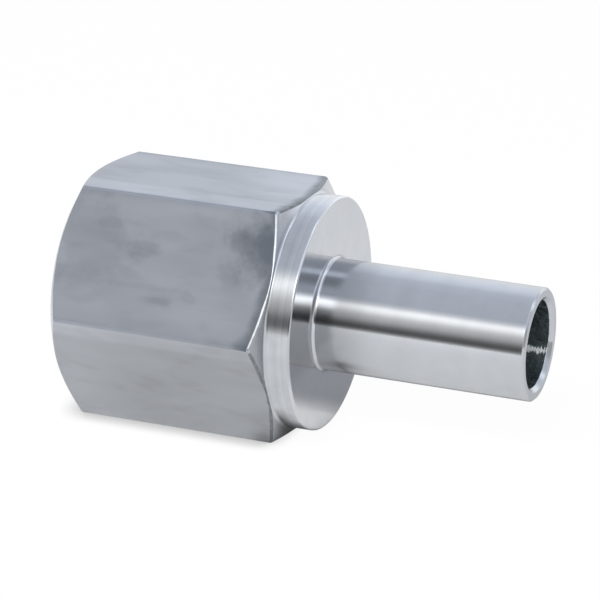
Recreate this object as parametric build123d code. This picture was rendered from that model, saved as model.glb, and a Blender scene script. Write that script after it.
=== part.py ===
from build123d import *
import os
from math import radians, sqrt, tan

# Female pipe adapter, turned from one piece of hexagon bar: a tube stub at one end and a
# female taper pipe port at the other. X is the axis, positive out of the stub, and Z is up.
# The adapter lies on one flat of the hexagon, and the origin is on the surface that it lies
# on, below the middle of its length. Millimetres.

inch = 25.4

# Female port, drilled and countersunk for a half-inch taper pipe tap
tap_drill_diameter = 0.71875 * inch
tap_drill_depth = 19.6
drill_point_angle = 118.0
countersink_width = 1.77
countersink_angle = 90.0
port_face_width = 1.6

# Hexagon bar, and the metal left between the full depth of the port and the collar face
across_flats = 1.0625 * inch
bar_edge_radius = 0.3
port_floor = 9.3

# Chamfer cones that take the hexagon's corners off, angles from the end faces
port_chamfer_angle = 30.0
shoulder_chamfer_angle = 25.0

# Round collar behind the stub, turned a little below the flats
collar_step = 0.2
collar_width = 2.8
collar_edge_radius = 0.25
collar_root_radius = 0.2

# Tube stub, as half-inch tube
stub_diameter = 0.5 * inch
stub_wall = 1.45
stub_length = 24.4
stub_root_radius = 0.5
stub_edge_chamfer = 0.25
stub_mouth_chamfer = 0.45

# Radii and places along the axis that follow from the sizes above
port_radius = tap_drill_diameter / 2
countersink_radius = port_radius + countersink_width
port_face_radius = countersink_radius + port_face_width
collar_radius = across_flats / 2 - collar_step
stub_radius = stub_diameter / 2
bore_radius = stub_radius - stub_wall
turning_radius = across_flats / sqrt(3) + bar_edge_radius

body_length = tap_drill_depth + port_floor
overall_length = body_length + stub_length
port_face_x = -overall_length / 2
drill_end_x = port_face_x + tap_drill_depth
collar_face_x = port_face_x + body_length
collar_root_x = collar_face_x - collar_width
stub_end_x = collar_face_x + stub_length


def chamfer_run(radius_step, angle_from_face):
    return radius_step * tan(radians(angle_from_face))


def point_run(radius_step, included_angle):
    return radius_step / tan(radians(included_angle / 2))


def corner_at(section, x, radius):
    """The corner of a section that is nearest to a place along the axis and a radius."""
    return section.vertices().sort_by_distance((x, radius, 0))[0]


def outside_points():
    """Outside of the section, from the port face to the stub's end."""
    port_chamfer_x = port_face_x + chamfer_run(turning_radius - port_face_radius, port_chamfer_angle)
    shoulder_x = collar_root_x - chamfer_run(turning_radius - collar_radius, shoulder_chamfer_angle)
    return [
        (port_face_x, port_face_radius),
        (port_chamfer_x, turning_radius),
        (shoulder_x, turning_radius),
        (collar_root_x, collar_radius),
        (collar_face_x, collar_radius),
        (collar_face_x, stub_radius),
        (stub_end_x, stub_radius),
    ]


def inside_points():
    """Way through the adapter, from the stub's mouth back to the countersunk port."""
    point_end_x = drill_end_x + point_run(port_radius - bore_radius, drill_point_angle)
    countersink_x = port_face_x + point_run(countersink_width, countersink_angle)
    return [
        (stub_end_x, bore_radius + stub_mouth_chamfer),
        (stub_end_x - stub_mouth_chamfer, bore_radius),
        (point_end_x, bore_radius),
        (drill_end_x, port_radius),
        (countersink_x, port_radius),
        (port_face_x, countersink_radius),
    ]


def turned_section():
    """Half section with its tool radii and the broken edge of the stub."""
    section = make_face(Polyline(*outside_points(), *inside_points(), close=True))
    section = fillet(corner_at(section, collar_root_x, collar_radius), collar_root_radius)
    section = fillet(corner_at(section, collar_face_x, collar_radius), collar_edge_radius)
    section = fillet(corner_at(section, collar_face_x, stub_radius), stub_root_radius)
    return chamfer(corner_at(section, stub_end_x, stub_radius), stub_edge_chamfer)


def hexagon_bar():
    """Bar as drawn, as long as the adapter, with one flat facing down."""
    end = RegularPolygon(across_flats / 2, 6, major_radius=False)
    end = fillet(end.vertices(), bar_edge_radius)
    return Pos(port_face_x, 0, 0) * extrude(Plane.YZ * end, overall_length)


def adapter_body():
    """Cutting the turned form by the flats leaves their curved ends on both cones."""
    turned = revolve(turned_section(), Axis.X)
    return Pos(0, 0, across_flats / 2) * (turned & hexagon_bar())


os.makedirs("parts", exist_ok=True)
export_step(adapter_body(), "parts/adapter_body.step")
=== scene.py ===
import math

import bmesh
import bpy
from mathutils import Matrix, Vector


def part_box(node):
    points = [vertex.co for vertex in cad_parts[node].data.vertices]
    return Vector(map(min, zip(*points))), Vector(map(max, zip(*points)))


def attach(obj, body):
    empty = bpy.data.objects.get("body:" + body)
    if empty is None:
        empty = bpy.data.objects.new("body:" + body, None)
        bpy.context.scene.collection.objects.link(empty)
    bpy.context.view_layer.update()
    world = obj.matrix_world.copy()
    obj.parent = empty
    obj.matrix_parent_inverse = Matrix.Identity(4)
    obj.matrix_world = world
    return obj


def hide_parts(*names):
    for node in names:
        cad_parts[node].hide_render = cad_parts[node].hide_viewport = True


# Female pipe adapter in stainless steel, lying on one flat of its hexagon.
# Lengths below are in mm unless a note says otherwise, and X runs along the axis, out of the stub.

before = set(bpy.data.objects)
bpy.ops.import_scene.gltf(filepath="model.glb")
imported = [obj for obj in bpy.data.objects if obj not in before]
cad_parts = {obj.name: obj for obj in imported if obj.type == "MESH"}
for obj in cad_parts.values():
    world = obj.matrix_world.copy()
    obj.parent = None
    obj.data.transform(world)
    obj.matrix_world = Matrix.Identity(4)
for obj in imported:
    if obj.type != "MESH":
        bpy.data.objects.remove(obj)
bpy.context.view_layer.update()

mm = 0.001
bodyLow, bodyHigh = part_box("adapter_body")
faceX = bodyLow.x / mm                          # port face
endX = bodyHigh.x / mm                          # stub's end
flatRadius = (bodyHigh.z - bodyLow.z) / 2 / mm  # axis to flat
print("frame loaded: port face at x =", round(faceX, 3), "stub end at x =", round(endX, 3))


def addObject(name, data):
    made = bpy.data.objects.new(name, data)
    bpy.context.scene.collection.objects.link(made)
    return made


# Camera, a long lens above and to the right of the front

camera = {
    "aim": (-1.60, 0.0, 14.55),
    "distance": 348.2,
    "azimuth": 20.54,      # degrees round from the front, towards the stub
    "elevation": 18.73,
    "roll": 1.6,
    "lens": 185.6,         # for a 36 mm sensor
}


def placeCamera(look):
    azimuth, elevation = math.radians(look["azimuth"]), math.radians(look["elevation"])
    outward = Vector((math.sin(azimuth) * math.cos(elevation),
                      -math.cos(azimuth) * math.cos(elevation),
                      math.sin(elevation)))
    data = bpy.data.cameras.new("cameraData")
    data.lens = look["lens"]
    data.sensor_width = 36
    data.clip_start = 0.01
    data.clip_end = 20
    made = addObject("camera", data)
    roll = Matrix.Rotation(math.radians(look["roll"]), 3, "Z")
    turn = (-outward).to_track_quat("-Z", "Y").to_matrix() @ roll
    place = (Vector(look["aim"]) + outward * look["distance"]) * mm
    made.matrix_world = Matrix.Translation(place) @ turn.to_4x4()
    bpy.context.scene.camera = made


placeCamera(camera)
bpy.context.scene.view_settings.view_transform = "Standard"
print("camera placed")


# The turned section: outside, stub, bore and the drilled end of the port

adapter = {
    "cornerRadius": 0.3,          # hexagon bar's own corners
    "flatSteps": 22,              # columns across each flat
    "cornerSteps": 5,
    "portRadius": 9.128,          # tap drill
    "portDepth": 19.6,
    "countersinkRadius": 10.898,
    "portFaceRadius": 12.498,     # where the port's chamfer starts
    "portChamferAngle": 30.0,     # from the end face
    "shoulderChamferAngle": 25.0,
    "bodyLength": 28.9,
    "collarWidth": 2.8,
    "collarRadius": flatRadius - 0.2,
    "stubRadius": 6.35,
    "stubChamfer": 0.25,
    "boreRadius": 4.9,
    "mouthChamfer": 0.45,
    "drillPointAngle": 118.0,
    "mouthRound": 0.08,           # countersink's outer edge
    "portFaceRound": 0.1,
    "portEdgeRound": 0.12,
    "shoulderRound": 0.40,        # rubbed edge where the flats meet the shoulder
    "rootRound": 0.42,
    "collarRound": 0.25,
    "stubRootRound": 0.36,
    "stubChamferRound": 0.06,
    "stubEdgeRound": 0.05,        # the other edges at the stub's mouth
    "drillPointRound": 0.1,
    "drillEndRound": 0.15,
}

# Half-inch taper pipe thread, right-handed, cut into the port
thread = {
    "pitch": 25.4 / 14,
    "mouthRadius": 10.61,         # root of the thread at the port face
    "taper": 1 / 32,              # on the radius
    "fullDepth": 13.6,
    "runOut": 3.5,                # the tap's lead, where the thread fades
    "rootHalfFlat": 0.035,
    "flankAngle": 30,
    "flankSteps": 6,
    "start": 0.2,                 # thread's rows begin this far inside the port face
    "end": 0.4,                   # and stop this far short of the drilled end
}

# Places along the axis that follow from the sizes
collarFaceX = faceX + adapter["bodyLength"]
rootX = collarFaceX - adapter["collarWidth"]
shoulderSlope = math.tan(math.radians(adapter["shoulderChamferAngle"]))

# Extra rows beside each rounded edge, which keep its shading off the faces next to it
holdGap = 0.06
holdShare = 0.2                   # of a short stretch
holdTurn = math.radians(0.4)
edgeParts = 5


def steps(low, high, count):
    return [low + (high - low) * k / count for k in range(count + 1)]


def roundedCorner(before, corner, after, radius, count):
    # points along an arc that is tangent to both sides of a corner
    toBefore, toAfter = before - corner, after - corner
    halfAngle = toBefore.angle(toAfter) / 2
    most = 0.45 * min(toBefore.length, toAfter.length)
    reach = min(radius / math.tan(halfAngle), most)
    toBefore.normalize()
    toAfter.normalize()
    centre = corner + (toBefore + toAfter).normalized() * (reach / math.cos(halfAngle))
    start, end = corner + toBefore * reach - centre, corner + toAfter * reach - centre
    fitted = reach * math.tan(halfAngle)
    return [centre + start.slerp(end, part) * fitted for part in steps(0, 1, count)]


def sectionRows(corners):
    # each corner is x, radius, rounding, and for the stretch after it the zone and how many parts it has
    rows = []
    places = [Vector(corner[:2]) for corner in corners]
    for k, (x, radius, rounding, zone, parts) in enumerate(corners):
        if rounding and 0 < k < len(corners) - 1:
            arc = roundedCorner(places[k - 1], places[k], places[k + 1], rounding, edgeParts)
            arcZone = "rubbedEdge" if zone == "cone" else zone
        else:
            arc, arcZone = [places[k]], zone
        if rows:
            # fill the stretch that leads here, with a hold row at each end
            last, lastZone, lastParts = rows[-1][0], rows[-1][1], corners[k - 1][4]
            run = arc[0] - last
            hold = min(holdGap / run.length, holdShare)
            for part in [hold] + steps(0, 1, lastParts)[1:-1] + [1 - hold]:
                rows.append((last + run * part, lastZone))
        rows += [(point, arcZone) for point in arc[:-1]]
        rows.append((arc[-1], zone))
    return rows


def fixedRows(barReach):
    # section in one direction around the axis, where the bar reaches this far
    a = adapter
    drillEndX = faceX + a["portDepth"]
    pointSlope = math.tan(math.radians(a["drillPointAngle"] / 2))
    pointX = drillEndX + (a["portRadius"] - a["boreRadius"]) / pointSlope
    portSlope = math.tan(math.radians(a["portChamferAngle"]))
    portEdgeX = faceX + (barReach - a["portFaceRadius"]) * portSlope
    shoulderX = rootX - (barReach - a["collarRadius"]) * shoulderSlope
    chamfer, mouth, edge = a["stubChamfer"], a["mouthChamfer"], a["stubEdgeRound"]
    return sectionRows([
        (faceX + thread["start"], a["countersinkRadius"] - thread["start"], 0, "port", 1),
        (faceX, a["countersinkRadius"], a["mouthRound"], "turned", 2),
        (faceX, a["portFaceRadius"], a["portFaceRound"], "turned", 3),
        (portEdgeX, barReach, a["portEdgeRound"], "bar", 16),
        (shoulderX, barReach, a["shoulderRound"], "cone", 2),
        (rootX, a["collarRadius"], a["rootRound"], "turned", 3),
        (collarFaceX, a["collarRadius"], a["collarRound"], "collarFace", 8),
        (collarFaceX, a["stubRadius"], a["stubRootRound"], "stub", 20),
        (endX - chamfer, a["stubRadius"], a["stubChamferRound"], "stub", 1),
        (endX, a["stubRadius"] - chamfer, edge, "stub", 2),
        (endX, a["boreRadius"] + mouth, edge, "stub", 1),
        (endX - mouth, a["boreRadius"], edge, "bore", 20),
        (pointX, a["boreRadius"], a["drillPointRound"], "bore", 4),
        (drillEndX, a["portRadius"], a["drillEndRound"], "port", 1),
        (drillEndX - thread["end"], a["portRadius"], 0, "port", 1),
    ])


def threadRows(angle):
    # thread in one direction around the axis, from the drilled end back to the mouth;
    # the whole pattern moves along the axis by one pitch in one turn
    a, t = adapter, thread
    nearX, farX = faceX + t["start"], faceX + a["portDepth"] - t["end"]
    turns = math.ceil(a["portDepth"] / t["pitch"])
    rows = []
    for turn in range(turns + 1, -3, -1):       # a turn or two past both ends, held at the ends below
        centre = faceX + t["pitch"] * (turn + angle / math.tau)
        depth = min(max(centre - faceX, 0), t["fullDepth"] + t["runOut"])
        cut = t["mouthRadius"] - t["taper"] * min(depth, t["fullDepth"]) - a["portRadius"]
        cut *= min(1, (t["fullDepth"] + t["runOut"] - depth) / t["runOut"])
        flat = t["rootHalfFlat"]
        flank = cut * math.tan(math.radians(t["flankAngle"]))
        crest = t["pitch"] / 2 - flat - flank
        down = [(flat + flank + crest / 2, 0)]
        for part in reversed(steps(0, 1, t["flankSteps"])):
            down.append((flat + flank * part, cut * (1 - part)))
        up = [(-offset, height) for offset, height in reversed(down)]
        for offset, height in down + up + [(-t["pitch"] / 2, 0)]:
            x = centre + offset
            if x <= nearX:
                point = Vector((nearX, a["countersinkRadius"] - t["start"]))
            elif x >= farX:
                point = Vector((farX, a["portRadius"]))
            else:
                coneRadius = a["countersinkRadius"] - (x - faceX)
                point = Vector((x, max(a["portRadius"] + height, coneRadius)))
            rows.append((point, "port"))
    return rows


def barColumns():
    # directions around the axis, as an angle and how far the bar reaches there
    a = adapter
    inner = flatRadius - a["cornerRadius"]
    tangent = math.atan2(inner * math.tan(math.radians(30)), flatRadius)
    across = steps(-tangent, tangent, a["flatSteps"])
    across.insert(1, across[0] + holdTurn)
    across.insert(-1, across[-1] - holdTurn)
    columns = []
    for side in range(6):
        facing = math.radians(30 + 60 * side)
        columns += [(facing + turn, flatRadius / math.cos(turn)) for turn in across]
        centreOut, centreTurn = inner / math.cos(math.radians(30)), facing + math.radians(30)
        for lean in steps(-30, 30, a["cornerSteps"])[1:-1]:
            along = centreOut + a["cornerRadius"] * math.cos(math.radians(lean))
            sideways = a["cornerRadius"] * math.sin(math.radians(lean))
            columns.append((centreTurn + math.atan2(sideways, along), math.hypot(along, sideways)))
    return columns


def buildAdapter():
    bm = bmesh.new()
    zones = ["bar", "rubbedEdge", "cone", "turned", "collarFace", "stub", "bore", "port"]
    columns = barColumns()
    columns.append((columns[0][0] + math.tau, columns[0][1]))   # closes the turn, one pitch further on
    strips = []
    for angle, barReach in columns:
        rows = fixedRows(barReach) + threadRows(angle)
        strip = []
        for point, zone in rows:
            across, up = point.y * math.cos(angle), point.y * math.sin(angle)
            strip.append(bm.verts.new((point.x * mm, across * mm, up * mm)))
        strips.append(strip + strip[:1])        # the section ends where it began
    rowZones = [zones.index(zone) for point, zone in rows]
    for left, right in zip(strips, strips[1:]):
        for k, zone in enumerate(rowZones):
            face = bm.faces.new((left[k], left[k + 1], right[k + 1], right[k]))
            face.material_index = zone
            face.smooth = True
    weldGap = 0.0004 * mm
    bmesh.ops.remove_doubles(bm, verts=bm.verts, dist=weldGap)
    bmesh.ops.dissolve_degenerate(bm, edges=bm.edges, dist=weldGap)
    bmesh.ops.recalc_face_normals(bm, faces=bm.faces)
    openEdges = [edge for edge in bm.edges if len(edge.link_faces) != 2]
    print("adapter mesh:", len(bm.faces), "faces,", len(openEdges), "open edges,",
          round(bm.calc_volume() / mm ** 3), "cubic mm")
    mesh = bpy.data.meshes.new("adapterBody")
    bm.to_mesh(mesh)
    bm.free()
    sharpFrom = math.radians(38)
    mesh.set_sharp_from_angle(angle=sharpFrom)
    made = addObject("adapterBody", mesh)
    made.location = (0, 0, flatRadius * mm)
    return made, zones


adapterBody, zoneNames = buildAdapter()


# Node helpers: a value can be a number or the socket of another node

def addNode(tree, kind, **settings):
    made = tree.nodes.new(kind)
    for name, value in settings.items():
        setattr(made, name, value)
    return made


def feed(tree, socket, value):
    if isinstance(value, bpy.types.NodeSocket):
        tree.links.new(value, socket)
    else:
        socket.default_value = value


def calc(tree, operation, *values):
    made = addNode(tree, "ShaderNodeMath", operation=operation)
    for socket, value in zip(made.inputs, values):
        feed(tree, socket, value)
    return made.outputs[0]


def spread(tree, value, low, high, newLow=0.0, newHigh=1.0):
    made = addNode(tree, "ShaderNodeMapRange", interpolation_type="SMOOTHSTEP")
    feed(tree, made.inputs["Value"], value)
    made.inputs["From Min"].default_value = low
    made.inputs["From Max"].default_value = high
    made.inputs["To Min"].default_value = newLow
    made.inputs["To Max"].default_value = newHigh
    return made.outputs["Result"]


def fadeIn(tree, value, end, gaps):
    # starts and is full at these two gaps before the end
    return spread(tree, value, end - gaps[0], end - gaps[1])


def blendColours(tree, factor, first, second):
    made = addNode(tree, "ShaderNodeMix", data_type="RGBA", blend_type="MIX")
    feed(tree, made.inputs[0], factor)
    feed(tree, made.inputs[6], first)
    feed(tree, made.inputs[7], second)
    return made.outputs[2]


def scaled(tree, vector, factor):
    # a place in other units, or a colour made lighter or darker
    made = addNode(tree, "ShaderNodeVectorMath", operation="SCALE")
    feed(tree, made.inputs[0], vector)
    feed(tree, made.inputs["Scale"], factor)
    return made.outputs[0]


def share(tree, amount, mask):
    # 1, changed by this amount where the mask is 1
    return calc(tree, "MULTIPLY_ADD", mask, amount, 1.0)


def product(tree, *values):
    total = values[0]
    for value in values[1:]:
        total = calc(tree, "MULTIPLY", total, value)
    return total


def varied(tree, pattern, middle, swing, low=0.3, high=0.7):
    # goes from middle - swing to middle + swing as the pattern goes from low to high
    return spread(tree, pattern, low, high, middle - swing, middle + swing)


def longSide(tree, first, second):
    # of a triangle with these two sides at right angles
    square = calc(tree, "MULTIPLY", second, second)
    return calc(tree, "SQRT", calc(tree, "MULTIPLY_ADD", first, first, square))


def outwards(tree, y, z, degrees):
    # distance from the axis in the direction with this angle
    turn = math.radians(degrees)
    return calc(tree, "MULTIPLY_ADD", y, math.cos(turn), calc(tree, "MULTIPLY", z, math.sin(turn)))


def joined(tree, x, y, z):
    made = addNode(tree, "ShaderNodeCombineXYZ")
    for socket, value in zip(made.inputs, (x, y, z)):
        feed(tree, socket, value)
    return made.outputs[0]


def bent(tree, distance, wander, reach):
    # distance to a mark whose rim wanders
    return calc(tree, "MULTIPLY_ADD", wander, reach, distance)


def freshTree(owner):
    owner.use_nodes = True
    owner.node_tree.nodes.clear()
    return owner.node_tree


def coordinates(tree, kind, scale):
    split = addNode(tree, "ShaderNodeSeparateXYZ")
    place = addNode(tree, "ShaderNodeTexCoord").outputs[kind]
    tree.links.new(scaled(tree, place, scale), split.inputs[0])
    return split.outputs


def finishTree(tree, kind, shader):
    tree.links.new(shader, addNode(tree, kind).inputs["Surface"])


def mixed(tree, part, first, second):
    mix = addNode(tree, "ShaderNodeMixShader")
    tree.links.new(part, mix.inputs[0])
    tree.links.new(first.outputs[0], mix.inputs[1])
    tree.links.new(second.outputs[0], mix.inputs[2])
    return mix.outputs[0]


def openness(tree, reach):
    # 1 in the open, less where things within this reach stand around a place
    made = addNode(tree, "ShaderNodeAmbientOcclusion", samples=8)
    made.inputs["Distance"].default_value = reach * mm
    return made.outputs["AO"]


def stretched(tree, x, y, z, along, across):
    # place for a pattern with this many grains to the mm along the axis and across it
    return joined(tree, calc(tree, "MULTIPLY", x, along), calc(tree, "MULTIPLY", y, across),
                  calc(tree, "MULTIPLY", z, across))


def ringed(tree, x, radius, perMm):
    # place for a pattern of rings round the axis
    return joined(tree, calc(tree, "MULTIPLY", x, perMm), calc(tree, "MULTIPLY", radius, perMm), 0.0)


def grain(tree, place, detail=2.0, rough=0.5):
    made = addNode(tree, "ShaderNodeTexNoise")
    feed(tree, made.inputs["Vector"], place)
    made.inputs["Scale"].default_value = 1.0
    made.inputs["Detail"].default_value = detail
    made.inputs["Roughness"].default_value = rough
    return made.outputs["Fac"]


# Steel finishes, one for each zone of the adapter

steel = {
    "bar": {"colour": (0.374, 0.386, 0.406), "grazing": 1.0, "rough": 0.42},
    "rubbedEdge": {"colour": (0.42, 0.44, 0.46), "grazing": 0.9, "rough": 0.31},
    "cone": {"colour": (0.47, 0.48, 0.51), "grazing": 0.9, "rough": 0.20},
    "turned": {"colour": (0.53, 0.545, 0.565), "grazing": 0.94, "rough": 0.20},
    "collarFace": {"colour": (0.62, 0.63, 0.65), "grazing": 0.98, "rough": 0.14},
    "stub": {"colour": (0.53, 0.545, 0.565), "grazing": 0.80, "rough": 0.13},
    "bore": {"colour": (0.52, 0.58, 0.59), "grazing": 0.8, "rough": 0.25},
    "port": {"colour": (0.50, 0.52, 0.545), "grazing": 0.9, "rough": 0.24},
}

toolMarkDepth = 0.02
flatFade = (0.25, 0.08)          # a flat's mask starts and is full at these depths under it
topFlat, frontFlat, lowFlat = 90, 150, 210   # directions that they face, from the back and upwards
offFlat = 99.0                   # further away than any mark on a flat

# Marks of handling on the bar, and painted shade and painted highlights. Tones are shares of the plain
# colour. A pair of lengths says where a mark starts and where it is full, and a pair of grains is to the mm,
# along the bar and across it.
barMarks = {
    "frontShadeColour": (0.306, 0.322, 0.354),   # painted shade: the front flat is coloured darker than the rest
    "clouds": (0.09, 0.30),
    "lines": (0.12, 6.0),
    "blotches": (0.22, 0.55),
    "wander": (0.45, 0.45),      # bends the rims of the marks
    "cloudTone": 0.03,
    "lineTone": 0.015,
    "blotchTone": -0.08,
    "blotchRange": (0.50, 0.72), # levels of their pattern
    "grainRough": 0.02,
    "bump": 0.12,
    "bandTone": 0.15,            # painted highlight beside the two corners in front
    "topBand": 3.8,
    "lowBand": 2.4,
    "bandFade": 0.8,
    "cornerTone": 0.10,
    "cornerRough": 0.16,
    "cornerFade": (0.42, 0.12),  # in from the true corner
    # painted shade by the shoulder on the front flat, a dark reflection, in this colour, which the dark line
    # below shares
    "shadeAndLineColour": (0.105, 0.119, 0.141),
    "shadeAcross": 3.6,          # middle of the painted shade, up from the middle of the front flat
    "shadeHalf": (5.0, 1.2),     # from that middle
    "shadeLength": (6.8, 0.5),   # from the shoulder
    "shadeBend": (4.0, 5.0),
    "shadeDepth": 0.85,
    "shoulderDepth": 0.75,       # dark line along the shoulder, for each flat as wide as below
    "shoulderLine": 0.20,
    # the front flat's wider line is painted shade
    "shoulderLineFront": 1.5,
    "shoulderLineTop": 1.3,
    "shoulderBend": 1.2,
    "shoulderCorner": 1.2,       # wider still at the lower corner of the front flat, as painted shade
    "shoulderCornerFade": (2.5, 0.3),
    "topBright": 0.22,           # top flat, along it and across it
    "topBrightAlong": (-12.0, -3.0),
    "topBrightAcross": (-6.0, 1.0),
    "lowBright": 0.09,           # low flat, towards the port
    "lowBrightAlong": (-16.0, -24.0),
}

# Smudges on the front flat: middle along X and across the flat, half length, half width, tone
smudges = [
    (-16.3, 1.7, 2.3, 1.0, -0.13),
    (-20.4, 4.1, 1.9, 0.7, -0.09),
    (-13.0, -3.9, 1.6, 0.55, -0.12),
    (-15.0, -2.5, 5.0, 0.45, -0.06),
    (-9.6, -3.2, 1.2, 0.7, -0.08),
    (-22.5, 2.2, 5.5, 5.0, -0.11),
    (-5.6, -0.4, 1.6, 1.9, -0.10),
    (-5.0, 3.7, 1.8, 1.5, -0.20),
]
smudgeRim = (1.2, 0.5)           # its fade, in shares of the half sizes
smudgeBend = 1.8

# Painted shade and painted highlights on the turned faces. A pair says where one starts and where it is
# full.
turnedMarks = {
    "rootShadeTone": 0.74,            # painted shade on the stub beside its root, by the collar face
    "rootShadeLength": (2.6, 8.5),    # from the collar, shaded up to the first and plain from the second
    "ringTone": 0.32,            # and kept off its rounded root, which ends a little lighter than plain
    "ringFade": (0.1, -0.05),    # from the end of the rounding
    "faceShadeTone": -0.20,           # painted shade on the collar face in front of the stub
    "faceLow": (-5.5, -2.5),     # all below are from the axis
    "faceHigh": (5.0, 2.0),
    "faceFront": (-4.0, -7.0),
    "farHighlightTone": 0.34,             # painted highlight on the shoulder cone, high on the far side
    "farBack": (2.5, 6.5),
    "farHigh": (6.0, 10.0),
    "nearShadeTone": -0.28,           # and painted shade on it, low in front
    "nearFront": (-8.0, -11.0),
    "nearLow": (5.0, 1.0),
}

# Tool marks: fine rings and soft bands, in grains to the mm, their bump and tones, soft patches, and
# how far the rings stretch a highlight
toolMarks = {
    "cone": {"rings": 5.0, "bump": 0.20, "stretch": 0.3,
             "bands": 1.9, "bandTone": 0.05, "patchTone": 0.05},
    "turned": {"rings": 9.0, "bump": 0.20, "stretch": 0.4,
               "bands": 1.2, "bandTone": 0.07, "patchTone": 0.045},
    "collarFace": {"rings": 9.0, "bump": 0.15, "stretch": 0.4,
                   "bands": 1.9, "bandTone": 0.0, "patchTone": 0.02},
    "stub": {"rings": 9.0, "bump": 0.12, "stretch": 0.7,
             "bands": 0.3, "bandTone": 0.02, "patchTone": 0.02},
    "port": {"rings": 6.0, "bump": 0.30, "stretch": 0.3,
             "bands": 1.9, "bandTone": 0.04, "patchTone": 0.02},
}
softPatches = (0.45, 0.45)
patchRough = 0.015
ringRough = 0.02
bandRange = (0.35, 0.65)         # levels of the pattern where the bands are darkest and lightest
bandRow = 4.0                    # picks one row of the pattern for them

# Shoulder's edge
edgeMarks = {
    "nicks": (1.5, 1.5),         # to the mm
    "frontTone": (0.92, 1.05),   # darkest and lightest of the nicks
    "otherTone": (0.40, 0.55),
    "frontRough": -0.15,
    "grainRough": 0.02,
    "bump": 0.1,
    "flatFade": (0.6, 0.3),      # in from the flat
}

# Inside of the bore
boreMarks = {
    "rings": 4.0,                # grains to the mm
    "mottles": (1.0, 1.0),
    "spikes": (6.0, 0.4),        # along the painted glint's rims
    "mottleRange": (0.35, 0.68), # levels of their pattern
    "mottleTone": 0.15,
    "mouthTone": 0.60,           # stronger in the mouth, over these lengths from its rim
    "mouthLengths": (7.0, 2.0),
    "grainRough": 0.06,
    "bump": 0.5,
    "stretch": 0.3,
    # painted highlight: a streak of light on the bore's far wall, with its own roughness and bump
    "glintColour": (0.92, 0.93, 0.93),
    "glintAngle": -27.0,       # degrees up from the back
    "glintHalf": (0.024, 0.48),
    "glintRange": (0.30, 0.75),
    "glintRim": (1.3, 0.7),    # its fade, in shares of the half width
    "glintBack": (1.0, 2.0),   # keeps it off the front
    "glintLengths": (3.2, 2.6),
    "glintRough": 0.35,
    "glintDepth": 1.5,
}


def startMaterial(name):
    material = bpy.data.materials.new(name)
    tree = freshTree(material)
    return material, tree, *coordinates(tree, "Object", 1 / mm)


def finishMaterial(tree, grazing, colour, rough, height, bump, stretch=0.0):
    shader = addNode(tree, "ShaderNodeBsdfPrincipled")
    shader.inputs["Metallic"].default_value = 1.0
    shader.inputs["Specular Tint"].default_value = (grazing, grazing, grazing, 1)
    feed(tree, shader.inputs["Base Color"], colour)
    feed(tree, shader.inputs["Roughness"], rough)
    bumpNode = addNode(tree, "ShaderNodeBump")
    bumpNode.inputs["Strength"].default_value = bump
    bumpNode.inputs["Distance"].default_value = toolMarkDepth * mm
    feed(tree, bumpNode.inputs["Height"], height)
    tree.links.new(bumpNode.outputs[0], shader.inputs["Normal"])
    if stretch:
        quarterTurn = 0.25
        shader.inputs["Anisotropic"].default_value = stretch
        shader.inputs["Anisotropic Rotation"].default_value = quarterTurn
        tangent = addNode(tree, "ShaderNodeTangent", direction_type="RADIAL", axis="X")
        tree.links.new(tangent.outputs[0], shader.inputs["Tangent"])
    finishTree(tree, "ShaderNodeOutputMaterial", shader.outputs[0])


def flatPlace(tree, y, z, facing):
    # mask of one flat, and the distance across it from its middle
    out = outwards(tree, y, z, facing)
    across = outwards(tree, y, z, facing - 90)
    return fadeIn(tree, out, flatRadius, flatFade), across


def beforeShoulder(tree, x, radius):
    # distance along the bar to its shoulder cone
    atAxis = rootX + adapter["collarRadius"] * shoulderSlope
    return calc(tree, "SUBTRACT", calc(tree, "MULTIPLY_ADD", radius, -shoulderSlope, atAxis), x)


def smudgeTone(tree, x, across, wander, smudge):
    # away is 1 at the smudge's half sizes
    middle, middleAcross, halfLength, halfWidth, tone = smudge
    along = calc(tree, "DIVIDE", calc(tree, "SUBTRACT", x, middle), halfLength)
    sideways = calc(tree, "DIVIDE", calc(tree, "SUBTRACT", across, middleAcross), halfWidth)
    away = bent(tree, longSide(tree, along, sideways), wander, smudgeBend)
    return share(tree, tone, spread(tree, away, *smudgeRim))


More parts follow.
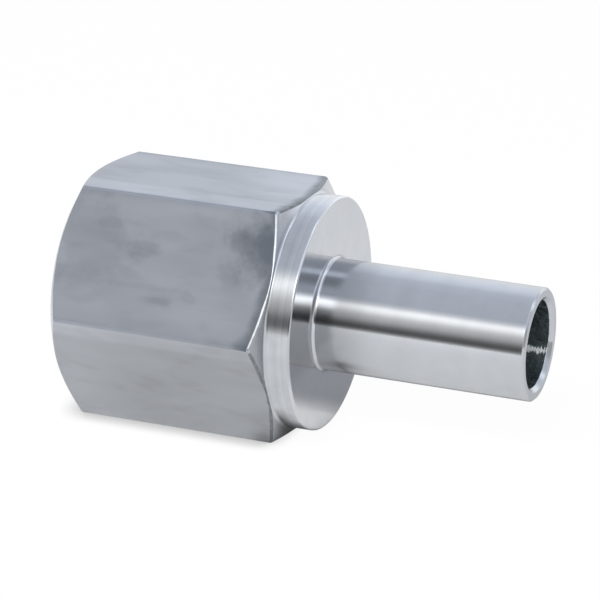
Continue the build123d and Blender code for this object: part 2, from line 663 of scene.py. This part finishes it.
def barSteel(look, marks):
    # drawn bar: satin, with faint drawing lines along it, soft blotches and marks of handling
    # with painted shade on the front flat and painted highlights beside its corners
    material, tree, x, y, z = startMaterial("barSteel")
    radius = longSide(tree, y, z)
    clouds = grain(tree, stretched(tree, x, y, z, *marks["clouds"]))
    lines = grain(tree, stretched(tree, x, y, z, *marks["lines"]))
    blotches = grain(tree, stretched(tree, x, y, z, *marks["blotches"]), rough=0.45)
    wander = grain(tree, stretched(tree, x, y, z, *marks["wander"]), detail=3.0, rough=0.6)
    wander = calc(tree, "SUBTRACT", wander, 0.5)

    # the three flats with marks on them, and the bar's corners
    onTop, topAcross = flatPlace(tree, y, z, topFlat)
    onFront, frontAcross = flatPlace(tree, y, z, frontFlat)
    onLow, lowAcross = flatPlace(tree, y, z, lowFlat)
    halfFlat = flatRadius * math.tan(math.radians(30))
    corner = fadeIn(tree, radius, flatRadius / math.cos(math.radians(30)), marks["cornerFade"])
    # painted highlight: lighter bands on the top and low flats beside the two front corners
    topBand, lowBand = marks["topBand"] - halfFlat, halfFlat - marks["lowBand"]
    besideTop = spread(tree, topAcross, topBand, topBand - marks["bandFade"])
    besideLow = spread(tree, lowAcross, lowBand, lowBand + marks["bandFade"])
    bands = calc(tree, "ADD", product(tree, onTop, besideTop), product(tree, onLow, besideLow))
    topBright = product(tree, onTop, spread(tree, x, *marks["topBrightAlong"]),
                        spread(tree, topAcross, *marks["topBrightAcross"]))
    lowBright = product(tree, onLow, spread(tree, x, *marks["lowBrightAlong"]))

    # painted shade by the shoulder on the front flat, a dark reflection
    toShoulder = beforeShoulder(tree, x, radius)
    fromMiddle = calc(tree, "ABSOLUTE", calc(tree, "SUBTRACT", frontAcross, marks["shadeAcross"]))
    acrossShade = bent(tree, fromMiddle, wander, marks["shadeBend"][0])
    alongShade = bent(tree, toShoulder, wander, marks["shadeBend"][1])
    frontShade = product(tree, onFront, marks["shadeDepth"], spread(tree, acrossShade, *marks["shadeHalf"]),
                    spread(tree, alongShade, *marks["shadeLength"]))

    # dark line along the shoulder, painted shade where it widens on the front flat
    inCorner = spread(tree, frontAcross, *[fade - halfFlat for fade in marks["shoulderCornerFade"]])
    wider = product(tree, onFront, marks["shoulderCorner"], inCorner)
    lineWidth = calc(tree, "ADD", wider, marks["shoulderLine"])
    for onFlat, width in ((onTop, marks["shoulderLineTop"]), (onFront, marks["shoulderLineFront"])):
        lineWidth = calc(tree, "MULTIPLY_ADD", onFlat, width - marks["shoulderLine"], lineWidth)
    inLine = calc(tree, "DIVIDE", bent(tree, toShoulder, wander, marks["shoulderBend"]), lineWidth)
    line = product(tree, marks["shoulderDepth"], spread(tree, inLine, 1.0, 0.1))
    lineAndShade = calc(tree, "MAXIMUM", frontShade, line)

    # off the front flat, the place across it is sent far from every smudge
    smudgeAcross = calc(tree, "MULTIPLY_ADD", calc(tree, "SUBTRACT", 1.0, onFront), offFlat, frontAcross)
    tone = product(tree, varied(tree, clouds, 1, marks["cloudTone"]),
                   varied(tree, lines, 1, marks["lineTone"]),
                   share(tree, marks["bandTone"], bands),
                   share(tree, marks["topBright"], topBright),
                   share(tree, marks["lowBright"], lowBright),
                   *[smudgeTone(tree, x, smudgeAcross, wander, smudge) for smudge in smudges],
                   share(tree, marks["cornerTone"], corner),
                   share(tree, marks["blotchTone"], spread(tree, blotches, *marks["blotchRange"])))
    # painted shade: the front flat darker than the other flats
    base = blendColours(tree, onFront, (*look["colour"], 1), (*marks["frontShadeColour"], 1))
    colour = blendColours(tree, lineAndShade, scaled(tree, base, tone), (*marks["shadeAndLineColour"], 1))
    lineRough = varied(tree, lines, 0, marks["grainRough"])
    rough = calc(tree, "ADD", varied(tree, clouds, look["rough"], -marks["grainRough"]),
                 calc(tree, "MULTIPLY_ADD", corner, marks["cornerRough"], lineRough))
    finishMaterial(tree, look["grazing"], colour, rough, lines, marks["bump"])
    return material


def rootTone(tree, x, y, z, marks):
    # stub: painted shade near its root, by the collar face, kept off the rounded root itself, which ends a
    # little lighter
    ringEnd = collarFaceX + adapter["stubRootRound"]
    ring = spread(tree, x, *[ringEnd + gap for gap in marks["ringFade"]])
    rootShade = spread(tree, x, *[collarFaceX + gap for gap in marks["rootShadeLength"]], marks["rootShadeTone"], 1.0)
    return calc(tree, "MULTIPLY_ADD", ring, marks["ringTone"], rootShade)


def lowFaceTone(tree, x, y, z, marks):
    # collar face: painted shade in front, from the stub down
    return share(tree, marks["faceShadeTone"], product(tree, spread(tree, z, *marks["faceLow"]),
                                                  spread(tree, z, *marks["faceHigh"]),
                                                  spread(tree, y, *marks["faceFront"])))


def coneTone(tree, x, y, z, marks):
    # shoulder cone: painted highlight high on the far side and painted shade low in front
    far = product(tree, spread(tree, y, *marks["farBack"]), spread(tree, z, *marks["farHigh"]))
    near = product(tree, spread(tree, y, *marks["nearFront"]), spread(tree, z, *marks["nearLow"]))
    return calc(tree, "MULTIPLY_ADD", near, marks["nearShadeTone"], share(tree, marks["farHighlightTone"], far))


def plainTone(tree, x, y, z, marks):
    return 1.0


def turnedSteel(zone, placeTone=plainTone):
    # tool marks run round the axis, so they change only along it and outwards
    look, marks = steel[zone], toolMarks[zone]
    material, tree, x, y, z = startMaterial(zone + "Steel")
    radius = longSide(tree, y, z)
    rings = grain(tree, ringed(tree, x, radius, marks["rings"]), rough=0.6)
    bands = grain(tree, joined(tree, calc(tree, "MULTIPLY", x, marks["bands"]), 0.0, bandRow), detail=1.0)
    patches = grain(tree, stretched(tree, x, y, z, *softPatches))
    tone = product(tree, varied(tree, patches, 1, marks["patchTone"]),
                   varied(tree, bands, 1, marks["bandTone"], *bandRange),
                   placeTone(tree, x, y, z, turnedMarks))
    rough = calc(tree, "ADD", varied(tree, patches, look["rough"], -patchRough),
                 varied(tree, rings, 0, ringRough))
    finishMaterial(tree, look["grazing"], scaled(tree, look["colour"], tone), rough, rings, marks["bump"],
                   marks["stretch"])
    return material


def edgeSteel(look, marks):
    # edge of the shoulder: rubbed bright on the front flat, with dirt in it on the others
    material, tree, x, y, z = startMaterial("edgeSteel")
    onFront = fadeIn(tree, outwards(tree, y, z, frontFlat), flatRadius, marks["flatFade"])
    nicks = grain(tree, stretched(tree, x, y, z, *marks["nicks"]), rough=0.6)
    dark, bright = [scaled(tree, look["colour"], spread(tree, nicks, 0.3, 0.7, *marks[tones]))
                    for tones in ("otherTone", "frontTone")]
    colour = blendColours(tree, onFront, dark, bright)
    nickRough = varied(tree, nicks, look["rough"], -marks["grainRough"])
    rough = calc(tree, "MULTIPLY_ADD", onFront, marks["frontRough"], nickRough)
    finishMaterial(tree, look["grazing"], colour, rough, nicks, marks["bump"])
    return material


def boreSteel(look, marks):
    # drilled bore: dull and mottled, with a painted highlight, a streak of light, inside the mouth
    material, tree, x, y, z = startMaterial("boreSteel")
    radius = longSide(tree, y, z)
    rings = grain(tree, ringed(tree, x, radius, marks["rings"]), rough=0.6)
    mottles = grain(tree, stretched(tree, x, y, z, *marks["mottles"]), detail=3.0, rough=0.65)
    spikes = grain(tree, stretched(tree, x, y, z, *marks["spikes"]), rough=0.7)
    beside = calc(tree, "ABSOLUTE", outwards(tree, y, z, marks["glintAngle"] + 90))
    behind = outwards(tree, y, z, marks["glintAngle"])
    halfWidth = spread(tree, spikes, *marks["glintRange"], *marks["glintHalf"])
    glint = product(tree, spread(tree, calc(tree, "DIVIDE", beside, halfWidth), *marks["glintRim"]),
                      spread(tree, behind, *marks["glintBack"]),
                      fadeIn(tree, x, endX, marks["glintLengths"]))
    depth = spread(tree, x, *[endX - gap for gap in marks["mouthLengths"]],
                   marks["mottleTone"], marks["mouthTone"])
    tone = share(tree, depth, spread(tree, mottles, *marks["mottleRange"], -1.0, 1.0))
    colour = blendColours(tree, glint, scaled(tree, look["colour"], tone), (*marks["glintColour"], 1))
    mottleRough = varied(tree, mottles, look["rough"], -marks["grainRough"])
    rough = calc(tree, "MULTIPLY_ADD", glint, marks["glintRough"], mottleRough)
    height = calc(tree, "MULTIPLY_ADD", glint, marks["glintDepth"], rings)
    finishMaterial(tree, look["grazing"], colour, rough, height, marks["bump"], marks["stretch"])
    return material


finishes = {
    "bar": barSteel(steel["bar"], barMarks),
    "rubbedEdge": edgeSteel(steel["rubbedEdge"], edgeMarks),
    "cone": turnedSteel("cone", coneTone),
    "turned": turnedSteel("turned"),
    "collarFace": turnedSteel("collarFace", lowFaceTone),
    "stub": turnedSteel("stub", rootTone),
    "bore": boreSteel(steel["bore"], boreMarks),
    "port": turnedSteel("port"),
}
for zone in zoneNames:
    adapterBody.data.materials.append(finishes[zone])
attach(adapterBody, "root")
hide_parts("adapter_body")
print("steel finishes made")


# White table

table = {
    "toFront": 130.0,        # its front edge, beyond which the steel mirrors the tent's dark slot
    "toOthers": 1500.0,
    "below": 0.01,           # under the flat that the adapter lies on
    "colour": (0.70, 0.70, 0.70),
    "seenLit": 0.97,         # share of plain white that the camera sees
    "contactReach": 2.8,     # dark rim of shadow where the bar touches the table
    "contactDepth": 0.50,
    "contactFade": (-3.0, 0.5),   # along X, towards the collar
    "underReach": 2.0,       # dark shadow under the collar, as the steel mirrors it
    "underDepth": 0.97,
    "underFade": (-5.0, -2.0),    # along X, towards the bar
    "mirroredLit": 0.1,      # share of plain white that the steel mirrors, over the lit table and its shadow
    "mirroredFar": 0.8,      # more of it far behind, painted light on the far table
    "farFade": (80.0, 180.0),
    "mirroredUnder": 0.38,   # and more under the stub, a painted pool of light
    "stubEnd": (2.0, 3.0),   # along X
    "stubFront": (-2.0, -0.5),
    "stubBack": (5.0, 3.0),
}


def tableMaterial(t):
    material, tree, x, y, z = startMaterial("whiteTable")
    path = addNode(tree, "ShaderNodeLightPath").outputs

    # how much of it is plain white, for the camera and for the steel, with painted light under the stub and
    # far behind
    seen = calc(tree, "MULTIPLY", path["Is Camera Ray"], t["seenLit"])
    lightUnderStub = product(tree, spread(tree, y, *t["stubFront"]), spread(tree, y, *t["stubBack"]),
                        spread(tree, x, *t["stubEnd"]), t["mirroredUnder"])
    lightFarBehind = spread(tree, y, *t["farFade"], t["mirroredLit"], t["mirroredFar"])
    mirrored = product(tree, calc(tree, "ADD", path["Is Glossy Ray"], path["Is Transmission Ray"]),
                       calc(tree, "ADD", lightUnderStub, lightFarBehind))
    lit = calc(tree, "MINIMUM", calc(tree, "ADD", seen, mirrored), 1.0)

    # lit table, darker under the collar
    hidden = calc(tree, "SUBTRACT", 1.0, openness(tree, t["underReach"]))
    shaded = share(tree, spread(tree, x, *t["underFade"], 0.0, -t["underDepth"]), hidden)
    matt = addNode(tree, "ShaderNodeBsdfDiffuse")
    tree.links.new(scaled(tree, t["colour"], shaded), matt.inputs["Color"])

    # plain white, with a dark rim where the bar touches it
    touching = calc(tree, "SUBTRACT", 1.0, spread(tree, openness(tree, t["contactReach"]), 0.0, 1.0))
    rim = share(tree, spread(tree, x, *t["contactFade"], -t["contactDepth"], 0.0), touching)
    white = addNode(tree, "ShaderNodeEmission")
    tree.links.new(rim, white.inputs["Strength"])
    finishTree(tree, "ShaderNodeOutputMaterial", mixed(tree, lit, matt, white))
    return material


def buildTable(t):
    bm = bmesh.new()
    front, far = t["toFront"], t["toOthers"]
    corners = [(-far, -front), (far, -front), (far, far), (-far, far)]
    bm.faces.new([bm.verts.new((x * mm, y * mm, -t["below"] * mm)) for x, y in corners])
    mesh = bpy.data.meshes.new("table")
    bm.to_mesh(mesh)
    bm.free()
    made = addObject("table", mesh)
    made.data.materials.append(tableMaterial(t))


buildTable(table)
print("table laid")


# Light tent: soft light all round, with a strip light in front and above and a dark slot under it.
# Angles are above the front horizon, measured round the adapter's axis. Places along X are the x part
# of a direction, from -1 at the left to 1 at the right, where a part of the tent starts and is full.

tent = {
    "around": [(-180, 1.20), (-150, 1.00), (-30, 1.00), (-10, 0.92), (-6, 0.72), (-3, 0.35), (0, 0.14),
               (5, 0.14), (12, 0.32), (20, 0.52), (32, 0.64), (60, 0.72), (100, 0.76), (120, 0.84),
               (132, 1.04), (145, 1.18), (160, 1.28), (180, 1.25)],
    "strip": [(10, 0.0), (18, 0.10), (24, 0.18), (30, 0.36), (36, 0.74), (41, 0.95), (45, 0.80), (50, 0.28),
              (57, 0.0)],
    "stripAlong": (-0.25, 0.35),     # dim to the left of this stretch and bright to the right
    "stripLeft": 1.10,
    "stripRight": 2.6,
    "leftEnd": 0.90,
    "leftEndAlong": (-0.65, -0.90),
    "rightEnd": 0.80,
    "rightEndAlong": (0.55, 0.80),
    "sideBox": 1.6,                  # large soft light above and to the right
    "sideBoxLeft": (0.42, 0.55),
    "sideBoxRight": (0.82, 0.72),
    "sideBoxFront": (14.4, 36.0),
    "sideBoxBack": (144.0, 122.4),
    "rightGap": 0.50,                # dark opening at the tent's right end
    "rightGapAlong": (0.925, 0.96),
    "rightShade": [(-180, 1.0), (0, 0.8), (12, 0.5), (24, 0.7), (32, 1.3), (45, 1.42), (58, 1.35),
                   (66, 1.4), (73, 1.15), (79, 0.85), (84, 0.70), (92, 0.70), (98, 0.95), (105, 1.9),
                   (111, 1.9), (118, 1.1), (126, 0.85), (140, 0.78), (150, 0.75), (163, 1.1), (180, 1.1)],
    "rightShadeAlong": (0.08, 0.22),
    "cool": (0.92, 0.98, 1.10),      # tint of the light from above, and how much of it there is
    "coolShare": [(-180, 0.3), (-150, 0.0), (44, 0.0), (60, 1.0), (140, 1.0), (165, 0.4), (180, 0.3)],
    "onMatt": 0.50,                  # share of its light on matt things, to which the lamp adds the rest
}

# Lamp where the strip is, for the table's sake: it gives the shadow that the shoulder mirrors
keyLamp = {
    "angle": 42.0,
    "distance": 700.0,
    "width": 500.0,
    "height": 160.0,
    "watts": 6.8,
}


def turnShare(degrees):
    # 0 at -180 degrees and 1 at 180
    return (degrees + 180) / 360


def levelRamp(tree, around, levels):
    ramp = addNode(tree, "ShaderNodeValToRGB")
    tree.links.new(around, ramp.inputs[0])
    points = ramp.color_ramp.elements
    while len(points) < len(levels):
        points.new(0.5)
    for point, (degrees, level) in zip(points, levels):
        point.position = turnShare(degrees)
        point.color = (level, level, level, 1)
    return ramp.outputs[0]


def towards(tree, level, other, part):
    return calc(tree, "ADD", calc(tree, "MULTIPLY", level, calc(tree, "SUBTRACT", 1.0, part)),
                calc(tree, "MULTIPLY", other, part))


def lightTent(t):
    world = bpy.data.worlds.new("lightTent")
    bpy.context.scene.world = world
    tree = freshTree(world)
    x, y, z = coordinates(tree, "Generated", 1.0)
    angle = calc(tree, "ARCTAN2", z, calc(tree, "MULTIPLY", y, -1.0))
    around = calc(tree, "ADD", calc(tree, "DIVIDE", angle, math.tau), 0.5)

    # levels round the axis, with the strip light and what the right side changes
    stripLevel = spread(tree, x, *t["stripAlong"], t["stripLeft"], t["stripRight"])
    strip = calc(tree, "MULTIPLY", levelRamp(tree, around, t["strip"]), stripLevel)
    level = calc(tree, "ADD", levelRamp(tree, around, t["around"]), strip)
    rightShade = levelRamp(tree, around, t["rightShade"])
    shade = towards(tree, 1.0, rightShade, spread(tree, x, *t["rightShadeAlong"]))
    level = calc(tree, "MULTIPLY", level, shade)

    # ends of the tent, and what lies in front of them
    sideBox = product(tree, spread(tree, x, *t["sideBoxLeft"]), spread(tree, x, *t["sideBoxRight"]),
                      *[spread(tree, around, *[turnShare(degrees) for degrees in t[name]])
                        for name in ("sideBoxFront", "sideBoxBack")])
    for name, part in (("leftEnd", spread(tree, x, *t["leftEndAlong"])),
                       ("rightEnd", spread(tree, x, *t["rightEndAlong"])),
                       ("sideBox", sideBox),
                       ("rightGap", spread(tree, x, *t["rightGapAlong"]))):
        level = towards(tree, level, t[name], part)

    # less of it on matt things, and plain white for the camera
    path = addNode(tree, "ShaderNodeLightPath").outputs
    level = calc(tree, "MULTIPLY", level, towards(tree, 1.0, t["onMatt"], path["Is Diffuse Ray"]))
    tint = blendColours(tree, levelRamp(tree, around, t["coolShare"]), (1, 1, 1, 1), (*t["cool"], 1))
    lit = addNode(tree, "ShaderNodeBackground")
    tree.links.new(tint, lit.inputs["Color"])
    tree.links.new(level, lit.inputs["Strength"])
    plain = addNode(tree, "ShaderNodeBackground")
    plain.inputs["Color"].default_value = (1, 1, 1, 1)
    plain.inputs["Strength"].default_value = 1.0
    finishTree(tree, "ShaderNodeOutputWorld", mixed(tree, path["Is Camera Ray"], lit, plain))


def hangLamp(look):
    data = bpy.data.lights.new("keyLamp", "AREA")
    data.shape = "RECTANGLE"
    data.size = look["width"] * mm
    data.size_y = look["height"] * mm
    data.energy = look["watts"]
    made = addObject("keyLamp", data)
    turn = math.radians(look["angle"])
    outward = Vector((0, -math.cos(turn), math.sin(turn)))
    made.rotation_euler = outward.to_track_quat("Z", "Y").to_euler()
    made.location = outward * look["distance"] * mm
    made.visible_glossy = False


lightTent(tent)
hangLamp(keyLamp)
print("light tent lit")

bpy.context.view_layer.update()
